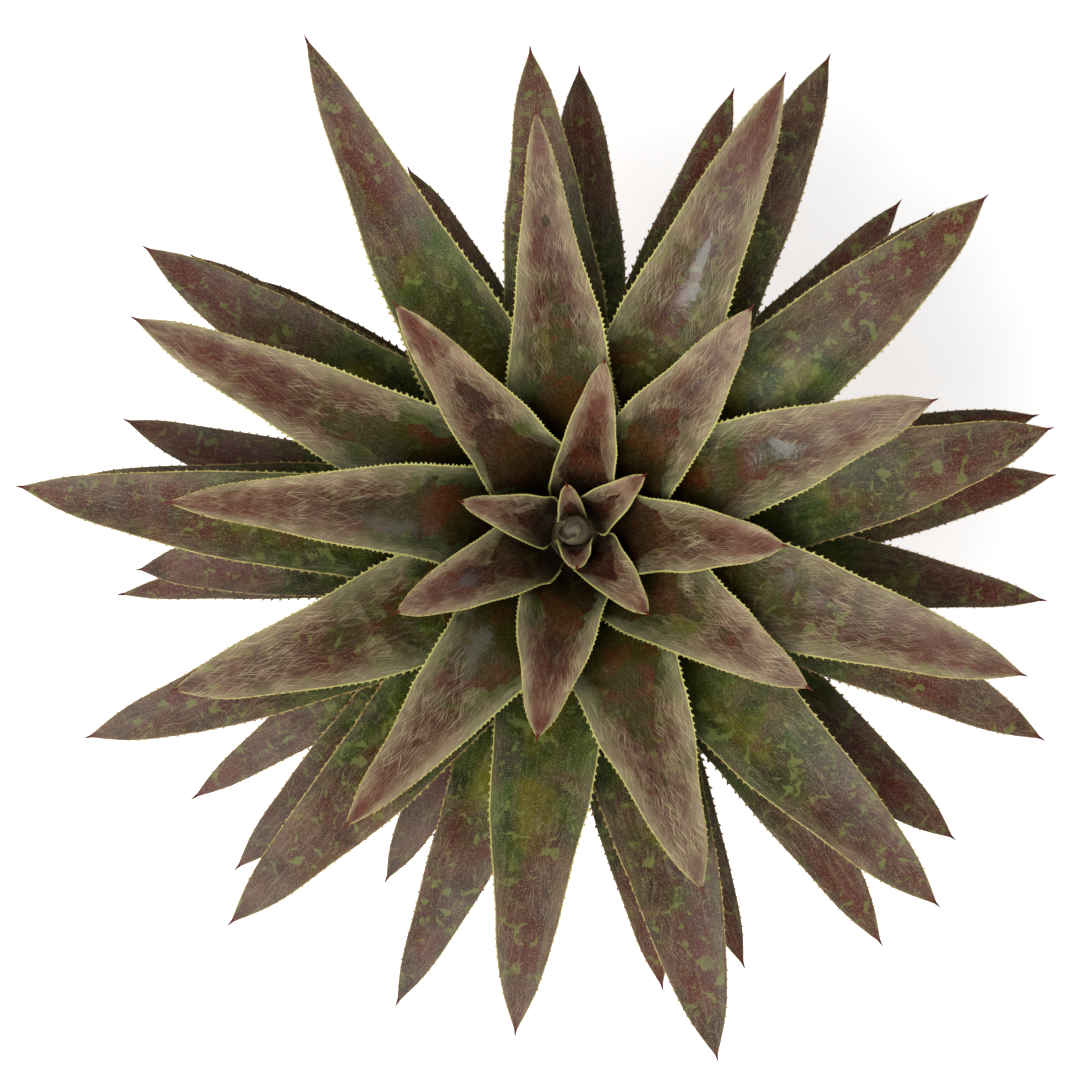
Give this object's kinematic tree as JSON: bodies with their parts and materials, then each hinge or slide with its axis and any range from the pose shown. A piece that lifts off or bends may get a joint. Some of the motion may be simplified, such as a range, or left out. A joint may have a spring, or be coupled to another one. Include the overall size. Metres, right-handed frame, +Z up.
{
  "type": "potted succulent rosette",
  "caption": "Rosette of long, channelled, toothed succulent leaves spiralling round a short crown, rooted in potting mix in a plain tapered clay pot with a collar.",
  "frame": {"origin": "centre of the pot's underside, on the surface it stands on", "axes": "+Z up through the pot and the crown; +Y is towards the plant's back, where leaf_14 and leaf_27 point"},
  "size_m": [0.4997, 0.48, 0.3656],
  "materials": {
    "clay": "unglazed, matte, fired clay",
    "potting_mix": "damp, coarse, dark brown",
    "crown_skin": "dry, scarred stem skin",
    "young_leaf": "matte waxy bloom over a rolled leaf",
    "leaf_inner": "silvery mauve bloom over maroon and olive green, pale toothed margin",
    "leaf_outer": "satin maroon brown with pale green flecks, green towards the foot, pale toothed margin"
  },
  "bodies": {
    "root": {"pot": "clay", "soil": "potting_mix", "crown": "crown_skin", "bud": "young_leaf", "leaf_01": "leaf_inner", "leaf_02": "leaf_inner", "leaf_03": "leaf_inner", "leaf_04": "leaf_inner", "leaf_05": "leaf_inner", "leaf_06": "leaf_inner", "leaf_07": "leaf_inner", "leaf_08": "leaf_inner", "leaf_09": "leaf_inner", "leaf_10": "leaf_inner", "leaf_11": "leaf_inner", "leaf_12": "leaf_inner", "leaf_13": "leaf_inner", "leaf_14": "leaf_inner", "leaf_15": "leaf_inner", "leaf_16": "leaf_inner", "leaf_17": "leaf_inner", "leaf_18": "leaf_inner", "leaf_19": "leaf_inner", "leaf_20": "leaf_inner", "leaf_21": "leaf_inner", "leaf_22": "leaf_outer", "leaf_23": "leaf_outer", "leaf_24": "leaf_outer", "leaf_25": "leaf_outer", "leaf_26": "leaf_outer", "leaf_27": "leaf_outer", "leaf_28": "leaf_outer", "leaf_29": "leaf_outer", "leaf_30": "leaf_outer", "leaf_31": "leaf_outer", "leaf_32": "leaf_outer", "leaf_33": "leaf_outer", "leaf_34": "leaf_outer", "leaf_35": "leaf_outer", "leaf_36": "leaf_outer", "leaf_37": "leaf_outer", "leaf_38": "leaf_outer", "leaf_39": "leaf_outer", "leaf_40": "leaf_outer", "leaf_41": "leaf_outer", "leaf_42": "leaf_outer", "leaf_43": "leaf_outer", "leaf_44": "leaf_outer", "leaf_45": "leaf_outer", "leaf_46": "leaf_outer", "leaf_47": "leaf_outer", "leaf_48": "leaf_outer", "leaf_49": "leaf_outer", "leaf_50": "leaf_outer", "leaf_51": "leaf_outer", "leaf_52": "leaf_outer", "leaf_53": "leaf_outer", "leaf_54": "leaf_outer", "leaf_55": "leaf_outer", "leaf_56": "leaf_outer"}
  },
  "joints": []
}
